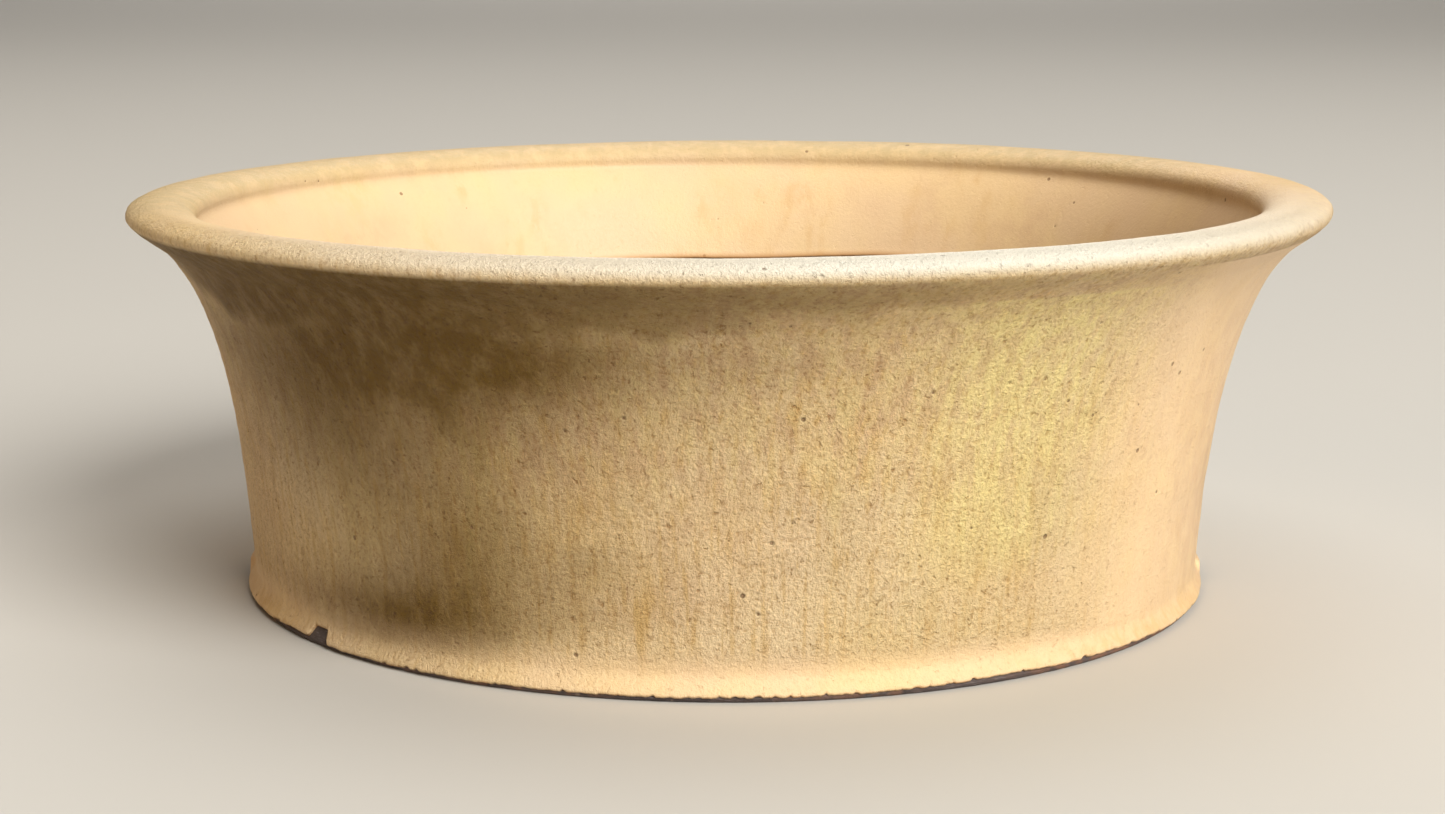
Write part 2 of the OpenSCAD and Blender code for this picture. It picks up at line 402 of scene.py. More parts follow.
ROSE = [
    (256, 58, 9.0, 12, 0.8), (270, 38, 10, 12, 0.7), (288, 62, 4.0, 16, 0.7), (319, 46, 7.0, 16, 0.4),
    (262, 22, 9.0, 7, 0.6), (206, 44, 9.0, 34, 0.8), (220, 12, 16, 8, 0.8), (274, 76, 12, 9, 0.4),
    (304, 28, 6, 8, 0.3), (142, 80, 5, 4, 1.2), (148, 76, 6, 3, 0.8), (353, 45, 24, 60, 1.9),
]
# painted shade on the shaded front left and under the lip, over some real thin brown glaze
SHADE_UMBER = [
    (243, 77, 24, 12, 1.0), (226, 58, 20, 22, 0.78), (240, 32, 15, 20, 0.46), (205, 72, 14, 14, 0.3),
    (252, 60, 12, 14, 0.26), (232, 12, 18, 10, 0.78), (246, 24, 16, 12, 0.28),
]


def patches(rows, p, seed, size):
    """The listed patches on the front, and random ones of the same kind on the rest of the pot."""
    deg = degrees_round(p)
    z = p[..., 2]
    total = np.zeros(z.shape)
    for azimuth, height, w, h, strength in rows:
        gap = (deg - azimuth + 180) % 360 - 180
        total += strength * np.exp(-((gap / w) ** 2) - ((z - height) / h) ** 2)
    back = 1 - bump_at(deg, 270, 176, 26)
    random_back = back * smooth(0.05, 0.75, fbm(p, size, 3, seed))
    return total + random_back + 0.25 * smooth(0.1, 0.8, fbm(p, size, 3, seed + 5))


COLUMNS = 1280
INSIDE_LOW = GLAZE_LINE_H - 6
# how far the skin's closely spaced rows are from each of its ends
CLOSE_ROWS = np.array([0, 0.05, 0.13, 0.25, 0.4, 0.6, 0.85, 1.15, 1.5, 1.9, 2.4, 3.0])
CLOSE_END, ROW_GAP = 3.7, 0.8
SKIN_DEPTH = GLAZE_T + 0.15


def glaze_grid(start, end):
    """Where each point of the skin lies along the outline: rows that bend to meet both ragged ends."""
    first, last = float(start.mean()), float(end.mean())
    count = int((last - first - 2 * CLOSE_END) / ROW_GAP)
    middle = np.linspace(first + CLOSE_END, last - CLOSE_END, count)
    rows = np.concatenate([first + CLOSE_ROWS, middle, (last - CLOSE_ROWS)[::-1]])[:, None]
    # the ragged part of the foot's edge is kept out of the rows above it
    fade, ragged_fade, half = 15.0, 3.5, 24
    near = np.exp(-((np.arange(-half, half + 1) / 10) ** 2))
    steady = np.convolve(np.concatenate([start[-half:], start, start[:half]]), near / near.sum(), "valid")
    from_foot, from_end = rows - first, last - rows
    return (
        rows
        + (steady - first)[None, :] * np.clip(1 - from_foot / fade, 0, 1) ** 2
        + (start - steady)[None, :] * np.clip(1 - from_foot / ragged_fade, 0, 1) ** 2
        + (end - last)[None, :] * np.clip(1 - from_end / fade, 0, 1) ** 2
    )


def glaze_skin():
    """One closed skin: its face follows the outline, with throwing lines, thick runs and ragged ends."""
    az = np.arange(COLUMNS) * TAU / COLUMNS
    face, back = pooled(skin_line(0, INSIDE_LOW)), skin_line(SKIN_DEPTH, INSIDE_LOW)
    s = lengths(face)
    wall_end = len(foot_face(0)) + WALL_STEPS - 1
    start = np.interp(foot_edge(az), face[:wall_end, 1], s[:wall_end])
    inside = slice(len(face) - INSIDE_STEPS, len(face))
    end = np.interp(-inside_edge(az), -face[inside, 1], s[inside])
    at = glaze_grid(start, end)
    gr, gz = np.interp(at, s, face[:, 0]), np.interp(at, s, face[:, 1])
    br, bz = np.interp(at, s, back[:, 0]), np.interp(at, s, back[:, 1])
    rest = around(gr, gz, az[None, :])
    # how round the skin's end is, from nothing at its very edge to full thickness
    edge = np.minimum(at - start[None, :], end[None, :] - at)
    swell = np.sqrt(np.clip(1 - (1 - np.clip(edge / 0.9, 0, 1)) ** 2, 0, 1))
    up = smooth(10, 24, gz) * (at < s[wall_end - 1])
    turns = az[None, :] / TAU
    swirl = np.stack([0 * gz, 4 * turns + 0 * gz, gz + 1.2 * turns], -1)
    lines = 0.16 * fbm(swirl, (1, 1, 7), 2, 11)
    uneven = 0.22 * fbm(rest, 26, 3, 12)
    runs = 0.13 * fbm(rest, (5.5, 5.5, 46), 2, 13) * up
    calm = calm_field(rest, at, s)
    grain = 0.12 * fbm(rest, 2.4, 2, 14) * (1 - calm)
    edge_roll = 0.12 * np.exp(-(((edge - 1.3) / 0.9) ** 2))
    lift = (lines * up + uneven + runs + grain) * smooth(0.2, 3.0, edge) + edge_roll
    grown = (1 + lift / np.hypot(gr - br, gz - bz)) * swell
    r, z = br + (gr - br) * grown, bz + (gz - bz) * grown
    outer = handmade(notch_lift(around(r, z, az[None, :])))
    # the hidden side is coarser, and a little deeper than the face's own back
    back_rows = np.unique(np.concatenate([np.arange(0, len(at), 5), [len(at) - 1]]))[::-1]
    sunk_r, sunk_z = br - 0.1 * (gr - br) / SKIN_DEPTH, bz - 0.1 * (gz - bz) / SKIN_DEPTH
    inner = handmade(notch_lift(around(sunk_r, sunk_z, az[None, :])[back_rows]))
    points = np.concatenate([outer, inner]).reshape(-1, 3)
    deg = np.degrees(az)[None, :] % 360
    outside = at < s[wall_end]
    # painted light: a lighter, yellower stripe on the front right wall, facing the key lamp, with less of
    # the patch colours
    bare = bump_at(deg, 300.5, 20, 14) * smooth(20, 36, gz) * outside
    thin_reach = 0.7 + 2.2 * smooth(s[-1] - 60, s[-1] - 50, at)
    fields = {
        "calm": calm,
        "ochre": (1 - 0.4 * bare) * patches(OCHRE, rest, 31, (7, 7, 60)),
        "olive": patches(OLIVE, rest, 32, (16, 16, 50)),
        "rose": (1 - 0.75 * bare) * patches(ROSE, rest, 33, (22, 22, 26)),
        # painted shade under the lip and on the front left, over some real thin brown glaze
        "shade_and_umber": shade_and_umber_field(rest, at, s),
        "bare": bare,
        # a real sage tint over the back half of the lip, darkened further as painted shade
        "sage_and_shade_lip": lip_field(at, s) * bump_at(deg, 112, 176, 24),
        # painted highlight: the front of the lip, facing the key lamp, goes near-white
        "lip_highlight": np.clip(1.2 - np.abs((deg - 290) / 60), 0, 1) * lip_field(at, s),
        "thin": (1 - smooth(0.1, thin_reach, edge)) * outside,
        "blush": (1 - smooth(0.1, 2.6, edge)) * (at > s[wall_end]),
        "runs": smooth(34, 56, gz) * (at < s[wall_end + 30]),
    }
    full = {k: np.concatenate([v.reshape(-1), v[back_rows].reshape(-1)]) for k, v in fields.items()}
    quads = ring_quads(len(at) + len(back_rows), COLUMNS)
    return make_mesh("glaze", points, quads, "glaze_coat", full)


def nose_along(s):
    """How far along the outline the lip's nose is."""
    return s[len(foot_face(0)) + WALL_STEPS - 1 + LIP_STEPS - 2]


def calm_field(rest, at, s):
    """1 where the glaze is smooth: on the foot bead and the lip, and inside."""
    nose = nose_along(s)
    deg = degrees_round(rest)
    drift = 6 * fbm(rest, 24, 3, 36)
    low = (0.7 - 0.45 * bump_at(deg, 228, 40, 36)) * (1 - smooth(6, 13, rest[..., 2])) * (at < nose)
    low = np.maximum(low, 0.72 * bump_at(deg + drift, 350, 76, 26) * (at < nose - 4))
    front = bump_at(deg, 262, 150, 60)
    on_lip = 0.75 - 0.65 * front * (1 - smooth(nose + 4, nose + 12, at))
    inside = smooth(nose + 14, nose + 24, at)
    return np.maximum(low, smooth(nose - 0.5, nose + 3, at) * np.maximum(on_lip, inside))


def lip_field(at, s):
    """1 on the lip, from its nose to its inner edge."""
    nose = nose_along(s)
    return smooth(nose - 1.5, nose + 2, at) * (1 - smooth(nose + 17, nose + 22, at))


def shade_and_umber_field(rest, at, s):
    """1 where shade is painted, over some real thin brown glaze: in patches, and all along under the lip.
    """
    nose = nose_along(s)
    deg = degrees_round(rest)
    side = smooth(178, 216, deg) * (1 - smooth(236, 312, deg))
    wander = at + 4 * fbm(rest, (7, 7, 40), 2, 35)
    # a painted shadow band under the lip, deepest and widest on the front left
    band = (0.12 + 0.88 * side) * smooth(nose - 9 - 31 * side, nose - 3 - 17 * side, wander)
    total = np.clip(patches(SHADE_UMBER, rest, 34, (40, 40, 30)), 0, 1)
    low = smooth(8, 18, rest[..., 2] + 10 * bump_at(deg, 230, 34, 24))
    return np.maximum(total, band) * (1 - smooth(nose - 2.2, nose - 0.6, at)) * low


# ---------------------------------------------------------------- the clay body
def pushed_out(p, push):
    """Points moved away from the pot's axis."""
    az = azimuth_of(p)
    out = p.copy()
    out[..., 0] += push * np.cos(az)
    out[..., 1] += push * np.sin(az)
    return out


def clay_rough(amount, size, seed):
    """A move that roughens a clay face."""

    def move(p):
        out = pushed_out(p, amount * fbm(p, size, 3, seed))
        out[..., 2] += 0.6 * amount * fbm(p, size, 2, seed + 3)
        return out

    return move


def flash_field(p):
    """Where the unglazed clay flashed orange: next to the glaze, in patches."""
    deg = degrees_round(p)
    band = 0.9 * bump_at(deg, 325, 40, 20) + 0.7 * bump_at(deg, 203, 20, 12)
    return np.clip(band + 0.7 * smooth(0.0, 0.6, fbm(p, 18, 2, 41)), 0, 1)


def inside_flash(p):
    """A reddish band in the clay just under the inside glaze."""
    return smooth(GLAZE_LINE_H - 9, GLAZE_LINE_H - 4, p[..., 2]) * (1.4 + 0.5 * fbm(p, 20, 2, 44))


def no_flash(p):
    return 0 * p[..., 2]


def foot_ring():
    """The ring that the pot stands on, with the bead's clay, rounded edges and turning lines."""
    bare_r, in_r, step = FOOT_R - GLAZE_T, FOOT_R - FOOT_W, 0.6
    a = np.radians(np.linspace(0, 90, 9))
    by_sin, by_cos = FOOT_ROUND * (1 - np.sin(a)), FOOT_ROUND * (1 - np.cos(a))
    inner_corner = np.stack([in_r + by_sin, by_cos], 1)
    outer_corner = np.stack([bare_r - by_cos, by_sin], 1)
    side = foot_face(GLAZE_T)
    side = side[side[:, 1] > FOOT_ROUND][::-1]
    top = np.array([[in_r, FLOOR_LIFT], [SLAB_R, FLOOR_LIFT], [SLAB_R, CREASE_H]])
    line = np.concatenate([inner_corner, top, side, outer_corner, inner_corner[:1]])
    outline = np.concatenate([resample(line[i : i + 2], step)[:-1] for i in range(len(line) - 1)])

    def turning_lines(p):
        out = p.copy()
        low = 1 - smooth(0.5, 3.5, p[..., 2])
        ridges = np.maximum(0, np.sin(radius_of(p) * 2.6 + 0.8 * noise(p, 30, 51)))
        # nothing may reach below the table
        out[..., 2] = np.maximum(p[..., 2] + 0.08 * low * ridges, 0)
        return out

    moves = [clay_rough(0.07, 2.2, 43), turning_lines, notch_lift]
    return turned("foot", outline, COLUMNS, "foot_ring", moves, flash_field)


def inner_clay_r(p):
    """The radius of the wall's inner clay face, at the height of each point."""
    return inner_r(GLAZE_T, np.clip(p[..., 2], 12, 92))


def wall_body():
    """The wall's clay, with throwing marks below the inside glaze."""
    outer = beside(np.linspace(0, 1, 30), GLAZE_T)
    outer[0] = [CREASE_R - GLAZE_T, CREASE_H]
    inner = resample(inner_face(GLAZE_T, FLOOR_TOP), 1.0)
    socket = np.array([[SLAB_R, FLOOR_TOP], [SLAB_R, CREASE_H]])
    outline = np.concatenate([outer, inner, socket])

    def throwing(p):
        z, turns = p[..., 2], azimuth_of(p) / TAU
        inside = (radius_of(p) < inner_clay_r(p) + 0.4) & (z > FLOOR_TOP + 1) & (z < GLAZE_LINE_H)
        swirl = np.stack([0 * z, 5 * turns, z + 1.6 * turns], -1)
        push = inside * (0.28 * noise(swirl, (1, 1, 6.5), 52) + 0.12 * fbm(p, 3.0, 3, 53))
        return pushed_out(p, -push)

    return turned("wall_clay", outline, 960, "wall", [throwing, handmade], inside_flash)


def rim_body():
    """The lip's clay, which the glaze hides."""
    corner = [[float(inner_r(GLAZE_T, ROLL_H + GLAZE_T)), ROLL_H + GLAZE_T]]
    outline = np.concatenate([beside([1.0], GLAZE_T), lip_face(GLAZE_T)[::3], corner])
    return turned("rim_clay", outline, 480, "rim", [handmade], no_flash)


def seam_coil():
    """The coil in the inner corner, pressed down with a fingertip."""
    top = FLOOR_TOP + COIL_R
    top_r = float(inner_r(GLAZE_T, top))
    a = np.radians(np.linspace(8, 84, 26))
    arc = np.stack([top_r - COIL_R + COIL_R * np.cos(a), top - COIL_R * np.sin(a)], 1)
    arc = np.concatenate([arc, [[arc[-1][0], FLOOR_TOP]]])
    z = np.linspace(FLOOR_TOP, arc[0][1], 12)
    behind = np.stack([inner_r(GLAZE_T, z) + 0.2, z], 1)
    outline = np.concatenate([arc, behind])

    def pressed(p):
        open_side = smooth(0.2, 1.6, inner_clay_r(p) - radius_of(p))
        marks = np.abs(np.sin(azimuth_of(p) * 31 + 1.2 * noise(p, 25, 61)))
        push = open_side * (0.35 * marks + 0.2 * fbm(p, 3.5, 3, 62))
        out = pushed_out(p, push)
        out[..., 2] -= 0.5 * push * (p[..., 2] > FLOOR_TOP + 0.2)
        return out

    return turned("corner_coil", outline, 960, "seam_coil", [pressed], no_flash)


CENTRE_HOLE_R, DRAIN_HOLE_R, TIE_HOLE_R = 14.0, 11.0, 2.5
DRAIN_SOFT, TIE_SOFT = 1.3, 0.5
TIE_INSET = 19.0
TIE_R = float(inner_r(GLAZE_T, FLOOR_TOP)) - TIE_INSET
SCREEN_TURNS = (3, -5, 4, -2, 6)


def drain_sites():
    """Each screen's number, its centre as the frame has it, and its turn in degrees."""
    sites = []
    for number, turn in enumerate(SCREEN_TURNS, 1):
        low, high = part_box(f"drain_screen_{number}")
        sites.append((number, (low[0] + high[0]) / 2 / MM, (low[1] + high[1]) / 2 / MM, turn))
    return sites


def capped(name, points, columns):
    """A closed mesh from rings of points in millimetres, with a flat cap on the first and the last."""
    bm = bmesh.new()
    verts = [bm.verts.new(v) for v in (points * MM).tolist()]
    for quad in ring_quads(len(points) // columns, columns, closed_rows=False).tolist():
        bm.faces.new([verts[k] for k in quad])
    bm.faces.new(verts[:columns][::-1])
    bm.faces.new(verts[-columns:])
    bmesh.ops.recalc_face_normals(bm, faces=bm.faces)
    mesh = bpy.data.meshes.new(name)
    bm.to_mesh(mesh)
    bm.free()
    return mesh


def hole_cutter(x, y, radius, soft):
    """A plug whose ends flare out, so that the hole it cuts has rounded, worn edges."""
    a = np.radians(np.linspace(0, 90, 7))
    flare = np.stack([radius + soft * (1 - np.sin(a)), -soft * np.cos(a)], 1)
    low = flare + [0, FLOOR_LIFT + soft]
    high = flare[::-1] * [1, -1] + [0, FLOOR_TOP - soft]
    outer, past = radius + soft, 3
    line = np.concatenate([[[outer, FLOOR_LIFT - past]], low, high, [[outer, FLOOR_TOP + past]]])
    columns = 64
    az = np.arange(columns) * TAU / columns
    p = around(line[:, :1], line[:, 1:], az[None, :]).reshape(-1, 3) + [x, y, 0]
    wobble = 1 + 0.018 * noise(p, 9, 71)[:, None]
    p[:, :2] = [x, y] + (p[:, :2] - [x, y]) * wobble
    return linked("cutter", capped("cutter", p, columns))


def spiral(p, pitch, depth, seed):
    """The height of a spiral ridge across the floor, with some roughness."""
    r = radius_of(p)
    wave = np.cos(TAU * (r / pitch - azimuth_of(p) / TAU) + noise(p, 40, seed))
    fade = 1 - smooth(SLAB_R - 14, SLAB_R - 9, r)
    return fade * (depth * wave * smooth(4, 14, r) + 0.1 * fbm(p, 3.2, 3, seed + 1))


def floor_slab():
    """The floor: a spiral thrown on top, turning rings below, and soft-edged holes."""
    columns = 720
    radii = np.concatenate([[0.6], np.arange(1.8, SLAB_R - 1, 1.2), [SLAB_R]])
    az = np.arange(columns) * TAU / columns
    top = around(radii[:, None], np.full((len(radii), 1), FLOOR_TOP), az[None, :])
    low = around(radii[::-1, None], np.full((len(radii), 1), FLOOR_LIFT), az[None, :])
    top[..., 2] += spiral(top, 8.5, 0.16, 81) - 0.12
    low[..., 2] += spiral(low, 3.6, 0.05, 83) + 0.06
    piece = linked("floor", capped("floor", np.concatenate([top, low]).reshape(-1, 3), columns))
    holes = [(x, y, CENTRE_HOLE_R if i == 1 else DRAIN_HOLE_R, DRAIN_SOFT) for i, x, y, _ in drain_sites()]
    for a in np.radians([45, 135, 225, 315]):
        holes.append((TIE_R * math.cos(a), TIE_R * math.sin(a), TIE_HOLE_R, TIE_SOFT))
    for hole in holes:
        cutter = hole_cutter(*hole)
        cut = piece.modifiers.new("hole", "BOOLEAN")
        cut.operation, cut.solver, cut.object = "DIFFERENCE", "MANIFOLD", cutter
        settle(piece)
        bpy.data.objects.remove(cutter)
    shade_smooth(piece.data)
    return keep(piece, "floor_slab")


def settle(piece):
    """Applies every modifier of a piece."""
    graph = bpy.context.evaluated_depsgraph_get()
    mesh = bpy.data.meshes.new_from_object(piece.evaluated_get(graph), depsgraph=graph)
    piece.modifiers.clear()
    piece.data = mesh


# ---------------------------------------------------------------- screens and clips
PITCH, STRAND_W = 4.0, 1.0
WIRE_R, TAIL, ARM = 1.0, 10.0, 5.0
LEG_X, LEG_Y = 2 * PITCH, PITCH
SEAT_GAP = 0.05


def turned_to(p, turn):
    """Points turned about the Z axis, by an angle in degrees."""
    c, s = math.cos(math.radians(turn)), math.sin(math.radians(turn))
    return np.stack([c * p[:, 0] - s * p[:, 1], s * p[:, 0] + c * p[:, 1], p[:, 2]], 1)


def screen(number, x, y, turn):
    """A moulded plastic mesh, cut from a sheet, with rounded crossings and a slight curl."""
    low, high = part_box(f"drain_screen_{number}")
    thick = (high[2] - low[2]) / MM
    angle = math.radians(turn)
    side = (high[0] - low[0]) / MM / (math.cos(abs(angle)) + math.sin(abs(angle)))
    cells = int(round((side - STRAND_W) / PITCH))
    half = cells * PITCH / 2
    bm = bmesh.new()
    ticks = np.linspace(-half, half, cells + 1)
    grid = [[bm.verts.new((u, v, 0)) for u in ticks] for v in ticks]
    for i in range(cells):
        for j in range(cells):
            bm.faces.new((grid[i][j], grid[i][j + 1], grid[i + 1][j + 1], grid[i + 1][j]))
    mesh = bpy.data.meshes.new(f"screen_{number}")
    bm.to_mesh(mesh)
    bm.free()
    piece = linked(f"screen_{number}", mesh)
    lattice = piece.modifiers.new("strands", "WIREFRAME")
    lattice.thickness, lattice.use_even_offset, lattice.use_boundary = STRAND_W, False, True
    settle(piece)
    soft = piece.modifiers.new("soft", "SUBSURF")
    soft.levels = soft.render_levels = 2
    settle(piece)
    mesh = piece.data
    co = np.empty(len(mesh.vertices) * 3, np.float32)
    mesh.vertices.foreach_get("co", co)
    p = co.reshape(-1, 3).astype(float)
    p[:, 2] *= thick / max(1e-6, p[:, 2].max() - p[:, 2].min()) * 0.97
    p[:, 2] += thick / 2
    far = np.clip(radius_of(p) / (half * 1.35), 0, 1)
    curl = 0.45
    p[:, 2] += curl * far**3 * (0.6 + 0.4 * noise(p + 40 * number, 14, 91))
    p = turned_to(p, turn) + [x, y, FLOOR_TOP]
    mesh.vertices.foreach_set("co", (p * MM).astype(np.float32).ravel())
    shade_smooth(mesh)
    mesh.update()
    return keep(piece, f"drain_screen_{number}")


def bend(centre, radius, start, end, second):
    """Points on a round bend, from angle start to end, in the plane of X and a second direction."""
    a = np.radians(np.linspace(start, end, 9))[:, None]
    return np.array(centre) + radius * (np.cos(a) * [1, 0, 0] + np.sin(a) * second)


def clip_route():
    """Half of a clip's wire, from its tail under the floor up the leg and round the loop to the middle."""
    y_way, z_way = np.array([0, 1, 0]), np.array([0, 0, 1])
    turn_r = (PITCH - STRAND_W) / 2
    low = FLOOR_LIFT - SEAT_GAP - WIRE_R
    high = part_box("drain_screen_1")[1][2] / MM + SEAT_GAP + WIRE_R
    bend_x = -LEG_X - turn_r
    return np.concatenate(
        [
            [(bend_x - TAIL + WIRE_R, LEG_Y, low)],
            bend((bend_x, LEG_Y, low + turn_r), turn_r, -90, 0, z_way),
            bend((bend_x, LEG_Y, high - turn_r), turn_r, 0, 90, z_way),
            bend((bend_x - ARM, LEG_Y / 2, high), LEG_Y / 2, 90, 270, y_way),
        ]
    )


def clip(number, x, y, turn):
    """A bent soft wire with snipped ends."""
    half = clip_route()
    route = turned_to(np.concatenate([half, half[::-1] * [-1, -1, 1]]), turn) + [x, y, 0]
    step, snip = 0.5, 0.9
    length = lengths(route)[-1]
    path = along(route, np.linspace(0, length, int(length / step) + 1))
    count = np.arange(len(path))
    from_end = np.minimum(count, count[::-1]) * step
    radius = WIRE_R * (0.45 + 0.55 * np.sqrt(np.clip(from_end / snip, 0, 1)))
    nicks = 1 + 0.03 * noise(path, 2.5, 95 + number)
    name = f"clip_{number}"
    mesh = tube(name, path, radius * nicks, 20)
    return keep(linked(name, mesh), f"screen_{name}")


def tube(name, path, radius, sides):
    """A closed tube swept along a path without twist."""
    ahead = np.gradient(path, axis=0)
    ahead /= np.linalg.norm(ahead, axis=1)[:, None]
    a = np.arange(sides)[:, None] * TAU / sides
    normal = np.cross(ahead[0], [0.3, 0.9, 0.2])
    rings = []
    for centre, r, way in zip(path, radius, ahead):
        normal = normal - way * np.dot(normal, way)
        normal /= np.linalg.norm(normal)
        rings.append(centre + r * (np.cos(a) * normal + np.sin(a) * np.cross(way, normal)))
    mesh = capped(name, np.concatenate(rings), sides)
    shade_smooth(mesh)
    return mesh


# ---------------------------------------------------------------- materials
class Shader:
    """A material's nodes, made one call at a time."""

    def __init__(self, name):
        self.material = bpy.data.materials.new(name)
        self.material.use_nodes = True
        self.tree = self.material.node_tree
        self.bsdf = self.tree.nodes["Principled BSDF"]
        self.place = self.node("ShaderNodeTexCoord").outputs["Object"]

    def node(self, kind, **settings):
        made = self.tree.nodes.new(kind)
        for key, value in settings.items():
            setattr(made, key, value)
        return made

    def put(self, socket, value):
        if isinstance(value, bpy.types.NodeSocket):
            self.tree.links.new(value, socket)
        else:
            socket.default_value = value

    def field(self, name):
        return self.node("ShaderNodeAttribute", attribute_name=name).outputs["Fac"]

    def stretched(self, scale):
        mapping = self.node("ShaderNodeMapping")
        self.put(mapping.inputs["Vector"], self.place)
        mapping.inputs["Scale"].default_value = scale
        return mapping.outputs["Vector"]

    def noise(self, size_mm, detail=3.0, roughness=0.5, vector=None, distortion=0.0):
        made = self.node("ShaderNodeTexNoise", noise_type="FBM", normalize=True)
        self.put(made.inputs["Vector"], vector or self.place)
        made.inputs["Scale"].default_value = 1 / (size_mm * MM)
        made.inputs["Detail"].default_value = detail
        made.inputs["Roughness"].default_value = roughness
        made.inputs["Distortion"].default_value = distortion
        return made.outputs["Fac"]

    def cells(self, size_mm):
        made = self.node("ShaderNodeTexVoronoi", feature="F1")
        self.put(made.inputs["Vector"], self.place)
        made.inputs["Scale"].default_value = 1 / (size_mm * MM)
        made.inputs["Randomness"].default_value = 1.0
        return made

    def ramp(self, value, low, high, to_low=0.0, to_high=1.0):
        made = self.node("ShaderNodeMapRange", interpolation_type="SMOOTHSTEP")
        self.put(made.inputs["Value"], value)
        ends = {"From Min": low, "From Max": high, "To Min": to_low, "To Max": to_high}
        for socket, number in ends.items():
            self.put(made.inputs[socket], number)
        return made.outputs["Result"]

    def math(self, operation, a, b=0.0, c=0.0):
        made = self.node("ShaderNodeMath", operation=operation)
        for socket, value in zip(made.inputs, (a, b, c)):
            self.put(socket, value)
        return made.outputs["Value"]

    def mix(self, amount, a, b, blend="MIX"):
        made = self.node("ShaderNodeMix", data_type="RGBA", blend_type=blend)
        self.put(made.inputs["Factor"], amount)
        for socket, value in (("A", a), ("B", b)):
            target = next(s for s in made.inputs if s.name == socket and s.type == "RGBA")
            self.put(target, (*value, 1.0) if isinstance(value, tuple) else value)
        return next(s for s in made.outputs if s.type == "RGBA")

    def over(self, colour, other, *amounts, blend="MIX"):
        """Lays another colour over the first, as strongly as the product of the amounts."""
        amount = amounts[0]
        for factor in amounts[1:]:
            amount = self.math("MULTIPLY", amount, factor)
        return self.mix(amount, colour, other, blend)

    def bump(self, height, distance_mm, strength=1.0):
        made = self.node("ShaderNodeBump")
        made.inputs["Strength"].default_value = strength
        made.inputs["Distance"].default_value = distance_mm * MM
        self.put(made.inputs["Height"], height)
        return made.outputs["Normal"]

    def finish(self, **inputs):
        for name, value in inputs.items():
            socket = self.bsdf.inputs[name.replace("_", " ")]
            self.put(socket, (*value, 1.0) if isinstance(value, tuple) and len(value) == 3 else value)
        return self.material


CREAM = (0.86, 0.64, 0.34)
PALE = (0.88, 0.68, 0.42)
# a painted highlight on the front of the lip
HIGHLIGHT_CHALK = (0.97, 0.92, 0.80)
GOLD = (0.70, 0.45, 0.17)
MOSS = (0.74, 0.56, 0.25)
TAN = (0.68, 0.45, 0.26)
# the dark colour of the painted shade, over some real thin brown glaze
SHADE_KHAKI = (0.15, 0.078, 0.004)
BROWN = (0.20, 0.10, 0.045)
RUST = (0.58, 0.29, 0.11)
STRAW = (0.88, 0.68, 0.34)
# a real sage tint on the back of the lip, darker as painted shade
SAGE_AND_SHADE = (0.60, 0.45, 0.24)
IVORY = (0.77, 0.545, 0.335)
# painted light on the wall facing the key lamp
LIT_LEMON = (0.95, 0.79, 0.35)
# these three multiply the colour under them: the first darkens the grain's hollows, its own tan with
# painted shade, the second lightens the grain's crests as a painted highlight, and the third darkens its
# flecks
SAND_AND_SHADE, CREST_HIGHLIGHT, SPOT = (0.62, 0.44, 0.25), (1.35, 1.32, 1.28), (0.62, 0.42, 0.22)
CLAY_DARK, CLAY_LIGHT, CLAY_LINE = (0.060, 0.045, 0.043), (0.105, 0.080, 0.076), (0.24, 0.20, 0.20)
GROG, FLASH = (0.28, 0.22, 0.18), (0.30, 0.13, 0.06)
PLASTIC_DARK, PLASTIC_SCUFFED, DUST = (0.012, 0.016, 0.014), (0.05, 0.055, 0.05), (0.20, 0.16, 0.12)
WIRE_BRIGHT, WIRE_DULL = (0.62, 0.60, 0.57), (0.40, 0.38, 0.35)


